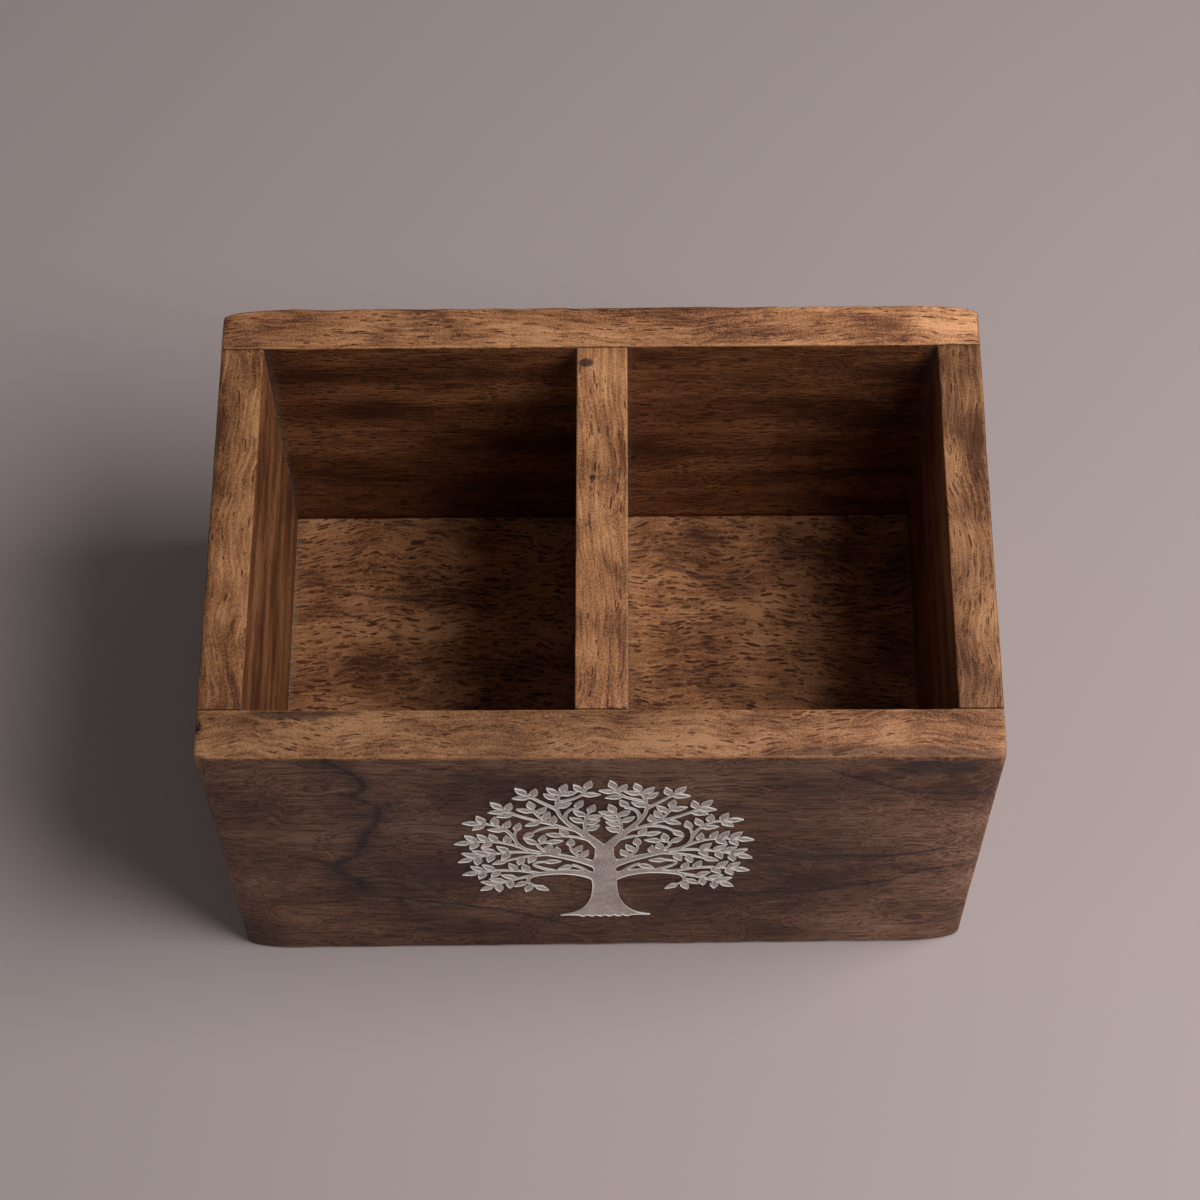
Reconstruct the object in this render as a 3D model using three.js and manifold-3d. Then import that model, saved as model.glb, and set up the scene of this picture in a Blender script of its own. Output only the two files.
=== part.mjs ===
// A wooden box with two open compartments for remote controls.
// Four boards meet in butt joints on hidden dowels, a divider splits the inside in two,
// a floor panel floats in a groove, and a cut-out metal tree is glued to the front.
// Millimetres, +Z up, origin in the middle of the footprint, front towards -Y.

import * as THREE from "three";
import { mergeVertices } from "three/addons/utils/BufferGeometryUtils.js";
import Module from "manifold-3d";

const wasm = await Module();
wasm.setup();

// The box
const WIDTH = 180;
const DEPTH = 119.6;
const HEIGHT = 107.6;
const END_LEAN = 1.1; // the side boards lean in by this much at the foot
const FRONT_THICKNESS = 12;
const BACK_THICKNESS = 11.5;
const SIDE_THICKNESS = 10.2;
const DIVIDER_THICKNESS = 12;
const DIVIDER_OFFSET = 0.4; // middle of the divider, right of the box's middle
const FLOOR_THICKNESS = 10;
const FLOOR_HEIGHT = 27; // top of the floor panel above the table
const GROOVE_DEPTH = 4; // how far the floor panel reaches into the boards
const FLOOR_CLEARANCE = 0.3; // room for the floor panel in its groove
const GLUE_LINE = 0.2; // gap between two glued faces

// The sanded outside
const SANDING_STOCK = 4; // rough board that sanding takes off the outside
const RIM_ARRIS = 1.2; // rounding along the top edge
const FOOT_ARRIS = 1.5; // rounding along the bottom edge
const ARRIS_STEPS = 3;
const FOOT_CORNER = [14, 2.6]; // rounding of the upright corners at the foot, across and deep
const RIM_FRONT_CORNER = [3, 1.5]; // front corners at the rim
const RIM_BACK_CORNER = [14, 2.6]; // back corners at the rim
const CORNER_STEPS = 5;

// Dowels
const DOWEL_DIAMETER = 5;
const DOWEL_LENGTH = 20;
const DOWEL_CHAMFER = 0.5;
const DOWEL_CLEARANCE = 0.25; // between a dowel and the side of its hole
const DOWEL_END_GAP = 0.5; // between a dowel and the end of its hole
const DOWEL_SKIN = 3.5; // wood left in front of a dowel
const DOWEL_EDGE_MARGIN = 13; // from the rim or the floor to the nearest dowel
const DOWEL_SIDES = 10;
const CORNER_DOWEL_COUNT = 3;
const DIVIDER_DOWEL_COUNT = 2;

// The metal tree. It is drawn on a sheet with u across and v up from its foot, in millimetres.
const TREE_FOOT_MARGIN = 19.4; // table to the tree's foot
const TREE_TOP_MARGIN = 10.4; // tree's top to the rim
const TREE_OFFSET = 0.7; // middle of the trunk, right of the box's middle
const TREE_THICKNESS = 0.5;
const CUT_TOLERANCE = 0.03; // detail finer than this is left out of the cut outline
const TREE_DRAWN_HEIGHT = 78;
const TREE_SLIMNESS = 0.955; // share of its drawn width that the tree keeps
const TRUNK_HEIGHT = 40;
const TRUNK_TOP_HALF = 2.3; // half of the trunk's width, at its top and its waist
const TRUNK_WAIST_HALF = 3.3;
const TRUNK_WAIST_HEIGHT = 14;
const ROOT_HALF = 11.5; // half of the spread of the roots, which end in thin spurs
const SPUR_HEIGHT = 0.9; // how high the spurs' tips stand
const ROOT_PULL = [6.6, 1.6]; // the curve from a spur to the waist bends towards these two points
const WAIST_PULL = [4, 6.6];
const TOES_HALF = 6.8; // half of the width of the toes between the spurs
const ROOT_TOE_COUNT = 6;
const TOE_DROP = 1.8;
const TOE_HEIGHT = 1.0;
const BOUGH_STEPS = 8;
const CURVE_STEPS = 5;
const SLENDER = [1, 0.65]; // widths of a bough that bears leaves, at its root and tip
const HEEL = 0.25; // how far a bough or leaf reaches back into what bears it
const LEFT_TURN = 0.04; // the left half is turned by this angle, radians
const LEAF_LENGTH = 4;
const LEAF_WIDTH = 2.25;
const LEAF_STEM = 0.7;
const LEAF_STEM_WIDTH = 0.65;
const LEAF_SPREAD = 0.95; // angle from the bough, radians
const LEAF_PITCH = 1.05; // between the places along a bough where a leaf may grow
const LEAF_BELLY = 0.38; // widest place of a leaf, as a share of its length
const LEAF_PULL = [[0.16, 1.7], [0.7, 0.8]]; // its edge bends towards these shares of length and half width
const LEAF_GAP = 0.27; // least gap between a leaf and anything else
const LEAF_STEPS = 4;
const LEAF_CIRCLES = 5;

// Boughs of the right half, mirrored for the left. Each grows from a place on its parent, from 0 at
// its root to 1 at its tip, bends towards two pull points, and tapers between two widths.
const BOUGHS = [
  { name: "low", on: "trunk", at: 0.54, pull: [[4.5, 28], [12, 29]], tip: [19.5, 25.4], widths: [4.2, 1.1] },
  { name: "low_droop", on: "low", at: 0.93, pull: [[20.5, 24.4], [20.6, 21.5]], tip: [18.6, 19.8] },
  { name: "low_outer", on: "low", at: 1, pull: [[22.5, 24.4], [25, 23]], tip: [28.6, 20.4] },
  { name: "low_level", on: "low", at: 0.85, pull: [[20, 28.5], [24.5, 30.4]], tip: [31.6, 28.4] },
  { name: "low_curl", on: "low", at: 0.62, pull: [[17, 29.5], [20.4, 33.6]], tip: [15.6, 33.6] },
  { name: "low_inner", on: "low", at: 0.2, pull: [[6, 30], [7.4, 31]], tip: [8.4, 31.4] },
  { name: "middle", on: "trunk", at: 0.72, pull: [[4.5, 34.5], [10, 36]], tip: [18, 40], widths: [3.4, 1] },
  { name: "middle_rise", on: "middle", at: 1, pull: [[20.8, 41.6], [22.4, 46]], tip: [21, 51.2] },
  { name: "middle_outer", on: "middle", at: 0.9, pull: [[20.5, 40], [25.5, 40.2]], tip: [32.4, 36.6] },
  { name: "middle_under", on: "middle", at: 0.8, pull: [[18, 37.6], [21, 36.4]], tip: [24, 35] },
  { name: "middle_fan", on: "middle_rise", at: 0.25, pull: [[23.4, 45], [26, 46.6]], tip: [32, 45.6] },
  { name: "middle_top", on: "middle_rise", at: 0.7, pull: [[23, 53], [25, 55.4]], tip: [29, 55.8] },
  { name: "middle_curl", on: "middle", at: 0.5, pull: [[14, 38], [19, 44]], tip: [14.4, 44.6] },
  { name: "middle_inner", on: "middle", at: 0.3, pull: [[6.8, 37.4], [8.4, 39]], tip: [8.2, 41.8] },
  { name: "fork", on: "trunk", at: 0.96, pull: [[2, 46], [6, 50]], tip: [9, 57], widths: [3, 1.1] },
  { name: "fork_low", on: "fork", at: 0.3, pull: [[5.6, 47.4], [7.4, 47.4]], tip: [9.4, 48] },
  { name: "fork_side", on: "fork", at: 0.66, pull: [[10.6, 53], [14.8, 56]], tip: [16, 62.8] },
  { name: "fork_shoulder", on: "fork_side", at: 0.45, pull: [[15.6, 57], [19.6, 58.4]], tip: [23.2, 63.2] },
  { name: "fork_under", on: "fork_side", at: 0.3, pull: [[13, 53.4], [15, 52.6]], tip: [16.6, 50.6] },
  { name: "fork_inner", on: "fork", at: 0.45, pull: [[4.4, 52], [4.4, 56]], tip: [2.8, 60.4] },
  { name: "fork_rise", on: "fork", at: 1, pull: [[10.6, 61], [11, 65]], tip: [8.8, 71.6] },
  { name: "fork_curl", on: "fork", at: 0.95, pull: [[9, 60.6], [7.4, 63.4]], tip: [5, 63] },
  { name: "fork_top", on: "fork_rise", at: 0.45, pull: [[12.4, 65], [14.2, 67]], tip: [16.8, 70.4] },
  { name: "fork_crown", on: "fork_rise", at: 0.7, pull: [[8, 67.6], [4.4, 67.6]], tip: [2.8, 73] },
];

const WOOD = { color: 0x8a5f45, roughness: 0.62, metalness: 0 };
const DOWEL_WOOD = { color: 0xc7a27a, roughness: 0.7, metalness: 0 };
const WHITE_METAL = { color: 0x9f9794, roughness: 0.42, metalness: 0.9 };

const FRONT_FACE = -DEPTH / 2;
const BACK_FACE = DEPTH / 2;
const FRONT_JOINT = FRONT_FACE + FRONT_THICKNESS;
const BACK_JOINT = BACK_FACE - BACK_THICKNESS;
const INNER_HALF_WIDTH = WIDTH / 2 - SIDE_THICKNESS;
const FLOOR_UNDERSIDE = FLOOR_HEIGHT - FLOOR_THICKNESS;

// Turn a closed geometry into a solid that can be joined and cut.
function solidOf(geometry) {
  const bare = geometry.clone();
  for (const name of Object.keys(bare.attributes)) {
    if (name !== "position") bare.deleteAttribute(name);
  }
  const merged = mergeVertices(bare, 1e-4);
  const mesh = new wasm.Mesh({
    numProp: 3,
    vertProperties: new Float32Array(merged.attributes.position.array),
    triVerts: new Uint32Array(merged.index.array),
  });
  return new wasm.Manifold(mesh);
}

function geometryOf(solid) {
  const mesh = solid.getMesh();
  const geometry = new THREE.BufferGeometry();
  geometry.setAttribute("position", new THREE.BufferAttribute(mesh.vertProperties, 3));
  geometry.setIndex(new THREE.BufferAttribute(mesh.triVerts, 1));
  geometry.computeVertexNormals();
  return geometry;
}

function piece(name, solid, finish) {
  const mesh = new THREE.Mesh(geometryOf(solid), new THREE.MeshStandardMaterial(finish));
  mesh.name = name;
  return mesh;
}

// A block that may lean in x: as drawn at the rim, and moved by the lean at the foot.
function block(low, high, lean = 0) {
  const size = high.map((value, axis) => value - low[axis]);
  const geometry = new THREE.BoxGeometry(...size);
  geometry.translate(...high.map((value, axis) => (value + low[axis]) / 2));
  geometry.applyMatrix4(new THREE.Matrix4().makeShear(0, 0, 0, 0, -lean / HEIGHT, 0));
  geometry.translate(lean, 0, 0);
  return solidOf(geometry);
}

// How far the side boards stand in at a height.
function leanAt(z) {
  return END_LEAN * (1 - z / HEIGHT);
}

// Outside of the box after sanding

// Plan outline at one height, anticlockwise seen from above.
function planOutline(halfWidth, halfDepth, frontCorner, backCorner) {
  const corners = [
    { x: 1, y: -1, rounding: frontCorner },
    { x: 1, y: 1, rounding: backCorner },
    { x: -1, y: 1, rounding: backCorner },
    { x: -1, y: -1, rounding: frontCorner },
  ];
  return corners.flatMap(({ x, y, rounding }, index) => {
    const centre = new THREE.Vector2(x * (halfWidth - rounding.x), y * (halfDepth - rounding.y));
    const startAngle = (index - 1) * (Math.PI / 2);
    return Array.from({ length: CORNER_STEPS + 1 }, (_, step) => {
      const angle = startAngle + (step / CORNER_STEPS) * (Math.PI / 2);
      return new THREE.Vector2(Math.cos(angle), Math.sin(angle)).multiply(rounding).add(centre);
    });
  });
}

// Heights where the outline is set out, with how far the rounded edge stands in there.
function sandingLevels() {
  const foot = [];
  const rim = [];
  for (let step = 0; step <= ARRIS_STEPS; step += 1) {
    const angle = (step / ARRIS_STEPS) * (Math.PI / 2);
    const rise = 1 - Math.cos(angle);
    const inset = 1 - Math.sin(angle);
    foot.push({ z: FOOT_ARRIS * rise, inset: FOOT_ARRIS * inset });
    rim.unshift({ z: HEIGHT - RIM_ARRIS * rise, inset: RIM_ARRIS * inset });
  }
  return [...foot, ...rim];
}

function sandedOutside() {
  const [foot, rimFront, rimBack] = [FOOT_CORNER, RIM_FRONT_CORNER, RIM_BACK_CORNER].map(
    ([across, deep]) => new THREE.Vector2(across, deep),
  );
  const rings = sandingLevels().map(({ z, inset }) => {
    const outline = planOutline(
      WIDTH / 2 - leanAt(z) - inset,
      DEPTH / 2 - inset,
      foot.clone().lerp(rimFront, z / HEIGHT),
      foot.clone().lerp(rimBack, z / HEIGHT),
    );
    return outline.map(({ x, y }) => [x, y, z]);
  });
  const count = rings[0].length;
  const last = (rings.length - 1) * count;
  const triangles = [];
  for (let ring = 0; ring < rings.length - 1; ring += 1) {
    for (let point = 0; point < count; point += 1) {
      const here = ring * count + point;
      const next = ring * count + ((point + 1) % count);
      triangles.push(here, next, next + count, here, next + count, here + count);
    }
  }
  for (let point = 1; point < count - 1; point += 1) {
    triangles.push(0, point + 1, point, last, last + point, last + point + 1);
  }
  const geometry = new THREE.BufferGeometry();
  geometry.setAttribute("position", new THREE.Float32BufferAttribute(rings.flat(2), 3));
  geometry.setIndex(triangles);
  return solidOf(geometry);
}

// Dowels

// A round bar along +Y from its start, with its ends chamfered.
function bar(radius, length, chamfer, start) {
  const profile = [
    [0, 0],
    [radius - chamfer, 0],
    [radius, chamfer],
    [radius, length - chamfer],
    [radius - chamfer, length],
    [0, length],
  ];
  const geometry = new THREE.LatheGeometry(profile.map(([x, y]) => new THREE.Vector2(x, y)), DOWEL_SIDES);
  geometry.translate(...start);
  return solidOf(geometry);
}

function dowelHeights(count) {
  const lowest = FLOOR_HEIGHT + DOWEL_EDGE_MARGIN;
  const highest = HEIGHT - DOWEL_EDGE_MARGIN;
  return Array.from({ length: count }, (_, index) => lowest + ((highest - lowest) * index) / (count - 1));
}

// One row of dowels, across the joint at the front or back end of an upright board whose middle
// is at x at the rim and leans towards the foot.
function dowelRow(label, rimX, lean, atFront, count) {
  const inFace = (atFront ? FRONT_THICKNESS : BACK_THICKNESS) - DOWEL_SKIN;
  const start = atFront ? FRONT_JOINT - inFace : BACK_JOINT + inFace - DOWEL_LENGTH;
  const radius = DOWEL_DIAMETER / 2;
  return dowelHeights(count).map((z, index) => {
    const x = rimX + lean * leanAt(z);
    return {
      name: `${atFront ? "front" : "back"}_${label}_dowel_${index + 1}`,
      dowel: bar(radius, DOWEL_LENGTH, DOWEL_CHAMFER, [x, start, z]),
      hole: bar(
        radius + DOWEL_CLEARANCE,
        DOWEL_LENGTH + 2 * DOWEL_END_GAP,
        DOWEL_CHAMFER,
        [x, start - DOWEL_END_GAP, z],
      ),
    };
  });
}

// Boards

function floorBlock(grow) {
  const reach = GROOVE_DEPTH - FLOOR_CLEARANCE + grow;
  return block(
    [-INNER_HALF_WIDTH - reach, FRONT_JOINT - reach, FLOOR_UNDERSIDE - grow],
    [INNER_HALF_WIDTH + reach, BACK_JOINT + reach, FLOOR_HEIGHT + grow],
  );
}

function boardBlanks() {
  const outerX = WIDTH / 2 + SANDING_STOCK;
  const outerY = DEPTH / 2 + SANDING_STOCK;
  const under = -SANDING_STOCK;
  const over = HEIGHT + SANDING_STOCK;
  const endFront = FRONT_JOINT + GLUE_LINE;
  const endBack = BACK_JOINT - GLUE_LINE;
  const dividerHalf = DIVIDER_THICKNESS / 2;
  return {
    front_board: block([-outerX, -outerY, under], [outerX, FRONT_JOINT, over]),
    back_board: block([-outerX, BACK_JOINT, under], [outerX, outerY, over]),
    left_side_board: block([-outerX, endFront, under], [-INNER_HALF_WIDTH, endBack, over], END_LEAN),
    right_side_board: block([INNER_HALF_WIDTH, endFront, under], [outerX, endBack, over], -END_LEAN),
    divider: block(
      [DIVIDER_OFFSET - dividerHalf, endFront, FLOOR_HEIGHT + GLUE_LINE],
      [DIVIDER_OFFSET + dividerHalf, endBack, over],
    ),
  };
}

// Metal tree

function along(points, share) {
  const [root, first, second, tip] = points;
  return new THREE.CubicBezierCurve(root, first, second, tip).getPoint(share);
}

function heading(points, share) {
  const [root, first, second, tip] = points;
  return new THREE.CubicBezierCurve(root, first, second, tip).getTangent(share);
}

// The boughs of one half, as bend points and widths; side is 1 for the right and -1 for the left.
function boughsOf(side) {
  const trunk = [0, 1 / 3, 2 / 3, 1].map((share) => new THREE.Vector2(0, share * TRUNK_HEIGHT));
  const found = new Map([["trunk", { points: trunk }]]);
  for (const { name, on, at, pull, tip, widths = SLENDER } of BOUGHS) {
    const root = along(found.get(on).points, at);
    const bends = [...pull, tip].map(([u, v]) => {
      const point = new THREE.Vector2(side * u, v);
      return side < 0 ? point.rotateAround(trunk[3], LEFT_TURN) : point;
    });
    found.set(name, { points: [root, ...bends], widths });
  }
  found.delete("trunk");
  return [...found.values()];
}

function widthAt(bough, share) {
  return THREE.MathUtils.lerp(bough.widths[0], bough.widths[1], share);
}

function boughOutline(bough) {
  const rightEdge = [];
  const leftEdge = [];
  for (let step = 0; step <= BOUGH_STEPS; step += 1) {
    const share = step / BOUGH_STEPS;
    const ahead = heading(bough.points, share);
    const middle = along(bough.points, share).addScaledVector(ahead, step === 0 ? -HEEL : 0);
    const aside = new THREE.Vector2(ahead.y, -ahead.x).multiplyScalar(widthAt(bough, share) / 2);
    rightEdge.push(middle.clone().add(aside));
    leftEdge.unshift(middle.clone().sub(aside));
  }
  return [...rightEdge, ...leftEdge];
}

function trunkOutline() {
  const shape = new THREE.Shape();
  const toe = (2 * TOES_HALF) / ROOT_TOE_COUNT;
  shape.moveTo(-ROOT_HALF, SPUR_HEIGHT);
  shape.lineTo(-TOES_HALF, TOE_HEIGHT);
  for (let index = 0; index < ROOT_TOE_COUNT; index += 1) {
    const left = -TOES_HALF + index * toe;
    shape.quadraticCurveTo(left + toe / 2, TOE_HEIGHT - TOE_DROP, left + toe, TOE_HEIGHT);
  }
  shape.lineTo(ROOT_HALF, SPUR_HEIGHT);
  const [rootU, rootV] = ROOT_PULL;
  const [waistU, waistV] = WAIST_PULL;
  shape.bezierCurveTo(rootU, rootV, waistU, waistV, TRUNK_WAIST_HALF, TRUNK_WAIST_HEIGHT);
  shape.lineTo(TRUNK_TOP_HALF, TRUNK_HEIGHT);
  shape.lineTo(-TRUNK_TOP_HALF, TRUNK_HEIGHT);
  shape.lineTo(-TRUNK_WAIST_HALF, TRUNK_WAIST_HEIGHT);
  shape.bezierCurveTo(-waistU, waistV, -rootU, rootV, -ROOT_HALF, SPUR_HEIGHT);
  return shape.getPoints(CURVE_STEPS);
}

// A pointed oval on a short stem, from its root in one direction.
function leafOutline({ root, ahead }) {
  const aside = new THREE.Vector2(-ahead.y, ahead.x);
  const place = (far, out) => root.clone().addScaledVector(ahead, far).addScaledVector(aside, out);
  const stem = LEAF_STEM_WIDTH / 2;
  const tip = LEAF_STEM + LEAF_LENGTH;
  const edge = (sign) => {
    const start = place(LEAF_STEM, sign * stem);
    const pulls = LEAF_PULL.map(([far, out]) => (
      place(LEAF_STEM + LEAF_LENGTH * far, (sign * out * LEAF_WIDTH) / 2)
    ));
    return new THREE.CubicBezierCurve(start, ...pulls, place(tip, 0)).getPoints(LEAF_STEPS);
  };
  const right = edge(-1);
  const left = edge(1).reverse().slice(1);
  return [place(-HEEL, -stem), ...right, ...left, place(-HEEL, stem)];
}

// Circles that cover a leaf's blade, to keep leaves apart.
function leafCircles({ root, ahead }) {
  return Array.from({ length: LEAF_CIRCLES }, (_, index) => {
    const share = (index + 1) / LEAF_CIRCLES;
    const fullness = share < LEAF_BELLY ? share / LEAF_BELLY : (1 - share) / (1 - LEAF_BELLY);
    return {
      centre: root.clone().addScaledVector(ahead, LEAF_STEM + LEAF_LENGTH * share),
      radius: (LEAF_WIDTH / 2) * fullness,
      nearRoot: share <= LEAF_BELLY,
    };
  });
}

function boughCircles(bough) {
  return Array.from({ length: 2 * BOUGH_STEPS + 1 }, (_, step) => {
    const share = step / (2 * BOUGH_STEPS);
    return { centre: along(bough.points, share), radius: widthAt(bough, share) / 2, bough };
  });
}

// The root half of a leaf may lie close to the bough that bears it, but to nothing else.
function isClear(circles, taken, own) {
  return circles.every((circle) => taken.every((other) => {
    if (other.bough === own && circle.nearRoot) return true;
    const gap = circle.centre.distanceTo(other.centre) - circle.radius - other.radius;
    return gap > LEAF_GAP;
  }));
}

// Leaves at the tips of the slender boughs, then alternately along them where there is room.
function leavesOf(boughs) {
  const taken = boughs.flatMap(boughCircles);
  const leaves = [];
  const tryLeaf = (bough, share, turn) => {
    const ahead = heading(bough.points, share).rotateAround(new THREE.Vector2(), turn);
    const leaf = { root: along(bough.points, share), ahead };
    const circles = leafCircles(leaf);
    if (!isClear(circles, taken, bough)) return;
    leaves.push(leaf);
    taken.push(...circles);
  };
  const slender = boughs.filter((bough) => bough.widths === SLENDER);
  for (const bough of slender) tryLeaf(bough, 1, 0);
  for (const bough of slender) {
    const [root, first, second, tip] = bough.points;
    const length = new THREE.CubicBezierCurve(root, first, second, tip).getLength();
    const count = Math.floor(length / LEAF_PITCH);
    for (let index = count - 1; index >= 1; index -= 1) {
      const turn = index % 2 ? LEAF_SPREAD : -LEAF_SPREAD;
      tryLeaf(bough, index / count, turn);
      tryLeaf(bough, index / count, -turn);
    }
  }
  return leaves;
}

// All outlines joined into one sheet, cut out and stood up against the front board.
function metalTree() {
  const scale = (HEIGHT - TREE_FOOT_MARGIN - TREE_TOP_MARGIN) / TREE_DRAWN_HEIGHT;
  const boughs = [...boughsOf(1), ...boughsOf(-1)];
  const leaves = leavesOf(boughs);
  const outlines = [trunkOutline(), ...boughs.map(boughOutline), ...leaves.map(leafOutline)];
  const contours = outlines.map((outline) => {
    const contour = outline.map(({ x, y }) => [x * scale * TREE_SLIMNESS, y * scale]);
    return THREE.ShapeUtils.isClockWise(outline) ? contour.reverse() : contour;
  });
  const sheet = new wasm.CrossSection(contours, "NonZero").simplify(CUT_TOLERANCE);
  const plate = sheet.extrude(TREE_THICKNESS).rotate([90, 0, 0]);
  return plate.translate([TREE_OFFSET, FRONT_FACE - GLUE_LINE, TREE_FOOT_MARGIN]);
}

function buildBox() {
  const box = new THREE.Group();
  const sideMiddle = WIDTH / 2 - SIDE_THICKNESS / 2;
  const rows = [true, false].flatMap((atFront) => [
    ...dowelRow("left", -sideMiddle, 1, atFront, CORNER_DOWEL_COUNT),
    ...dowelRow("right", sideMiddle, -1, atFront, CORNER_DOWEL_COUNT),
    ...dowelRow("divider", DIVIDER_OFFSET, 0, atFront, DIVIDER_DOWEL_COUNT),
  ]);
  const outside = sandedOutside();
  const groove = floorBlock(FLOOR_CLEARANCE);
  for (const [name, blank] of Object.entries(boardBlanks())) {
    const shaped = blank.intersect(outside).subtract(groove);
    const drilled = rows.reduce((board, { hole }) => board.subtract(hole), shaped);
    box.add(piece(name, drilled, WOOD));
  }
  box.add(piece("floor_panel", floorBlock(0), WOOD));
  for (const { name, dowel } of rows) box.add(piece(name, dowel, DOWEL_WOOD));
  box.add(piece("metal_tree", metalTree(), WHITE_METAL));
  return box;
}

export default buildBox();
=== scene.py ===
# Looks of a wooden remote control box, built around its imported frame.
# Shapes are worked out in millimetres and turned into metres as each mesh is made.
# +X is right, +Y is back, +Z is up, and the origin is the middle of the footprint.

import math

import bpy
import numpy as np
from mathutils import Matrix, Vector, geometry, kdtree, noise


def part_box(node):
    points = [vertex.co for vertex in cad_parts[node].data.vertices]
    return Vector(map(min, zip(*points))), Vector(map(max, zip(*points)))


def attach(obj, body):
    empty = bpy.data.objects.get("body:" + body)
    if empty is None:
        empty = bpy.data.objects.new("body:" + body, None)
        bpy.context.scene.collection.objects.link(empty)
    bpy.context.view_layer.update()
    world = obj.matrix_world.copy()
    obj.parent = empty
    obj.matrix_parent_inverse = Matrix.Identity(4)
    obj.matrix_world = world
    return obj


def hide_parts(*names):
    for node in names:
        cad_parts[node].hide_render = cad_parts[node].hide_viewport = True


MM = 0.001

# The boards' edges, as in the frame. Corners are rounded by one amount across and one deep.
END_LEAN = 1.1
RIM_ARRIS = {"outer": 1.2, "inner": 0.5, "joint": 0.18}
FOOT_ARRIS = {"outer": 1.5, "inner": 0.6, "joint": 0.18}
ARRIS_VARIETY = 0.4
ARRIS_WAVE = 6.0
FOOT_CORNER = (14.0, 2.6)
RIM_FRONT_CORNER = (3.0, 1.5)
RIM_BACK_CORNER = (14.0, 2.6)
SQUARE_CORNER = (0.25, 0.25)
GROOVE_ROOM = 0.3
GROOVE_EDGE = 0.01
FLOOR_EASE = 0.4

# The box isn't quite square: the front's foot is twisted and the back board stands askew
FRONT_TWIST = 1.0
BACK_SKEW = 0.45

# How finely the boards are drawn
POINT_SPACING = 1.0
WALL_SPACING = 4.0
CORNER_STEPS = 8
EDGE_DROPS = (0.0, 0.05, 0.13, 0.26, 0.45, 0.7, 1.05, 1.6, 2.6)
SAME_POINT = 1e-6
CAP_GRID = 1.4
FLOOR_GRID = 1.6

# Hand sanding: slow waves in the surfaces as lengths and heights, and small dents along the edges.
# The waves reach these depths below the rim, in from the front and back, and in from the ends.
SANDING_WAVES = ((17.0, 0.10), (6.0, 0.045))
SANDED_RIM = 3.0
SANDED_FACES = 2.0
SANDED_ENDS = 3.0
FLOOR_WAVE = (24.0, 0.12)
FLOOR_DIP = 0.1
DENTS = (
    {"at": (-89.9, -51.5, 107.2), "radius": 1.5, "depth": 1.1},
    {"at": (-88.6, -59.6, 106.8), "radius": 1.8, "depth": 0.5},
    {"at": (21.0, -59.8, 107.2), "radius": 2.2, "depth": 0.35},
    {"at": (63.0, -59.8, 107.3), "radius": 2.6, "depth": 0.3},
    {"at": (89.6, -58.6, 107.4), "radius": 2.4, "depth": 0.5},
    {"at": (89.8, 20.0, 107.4), "radius": 2.2, "depth": 0.35},
    {"at": (-89.8, -12.0, 107.4), "radius": 2.4, "depth": 0.35},
    {"at": (44.0, 59.8, 107.4), "radius": 2.4, "depth": 0.35},
)

# How far from edges, corners, joints and nooks the wood is worn, with a painted highlight, or dirty
EDGE_REACH = {"outer": 1.0, "inner": 0.6}
CORNER_REACH = 2.2
JOINT_REACH = 0.8
NOOK_REACH = 1.6
NOOK_SLACK = 0.5

# The metal tree's relief
TREE_EDGE_HEIGHT = 0.5
TREE_DISH = 0.34
TREE_DISH_REACH = 0.5
TREE_SINK = 0.2
OUTLINE_SPACING = 0.28
SHARP_TURN = math.radians(50)
TREE_SHARP_EDGE = math.radians(60)
CORNER_CUTS = 2
CORNER_CUT = 0.25
RELIEF_RINGS = (0.1, 0.25, 0.5)
RING_ROOM = 0.85
RELIEF_GRID = 0.6
PLATE_FRONT_FACING = -0.9

# Camera, light and floor
CAMERA_PLACE = (5.3081, -365.1398, 739.7315)
CAMERA_PITCH = math.radians(61.3707)
CAMERA_YAW = math.radians(0.8813)
CAMERA_ROLL = math.radians(0.9026)
CAMERA_LENS = 95.349
SENSOR_WIDTH = 36.0
LIGHT_AIM = (0.0, 0.0, 0.05)
KEY_PLACE = (0.505, -0.145, 0.78)
KEY_SIZE = 0.62
KEY_POWER = 9.5
FILL_PLACE = (-0.9, -0.5, 0.3)
FILL_SIZE = 0.8
FILL_POWER = 1.5
SKY_LEVEL = 0.10
FLOOR_SIZE = 4.0
FLOOR_COLOUR = (0.375, 0.308, 0.302, 1.0)
FLOOR_ROUGHNESS = 0.7

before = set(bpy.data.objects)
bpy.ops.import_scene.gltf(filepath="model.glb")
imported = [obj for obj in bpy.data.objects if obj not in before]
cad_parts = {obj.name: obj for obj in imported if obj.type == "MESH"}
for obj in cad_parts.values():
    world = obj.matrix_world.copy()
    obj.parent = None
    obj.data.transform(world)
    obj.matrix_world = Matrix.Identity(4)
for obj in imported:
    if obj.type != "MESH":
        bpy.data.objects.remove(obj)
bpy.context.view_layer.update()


def box_mm(node):
    """A node's low and high corners in millimetres."""
    low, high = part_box(node)
    return np.array(low) / MM, np.array(high) / MM


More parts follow.
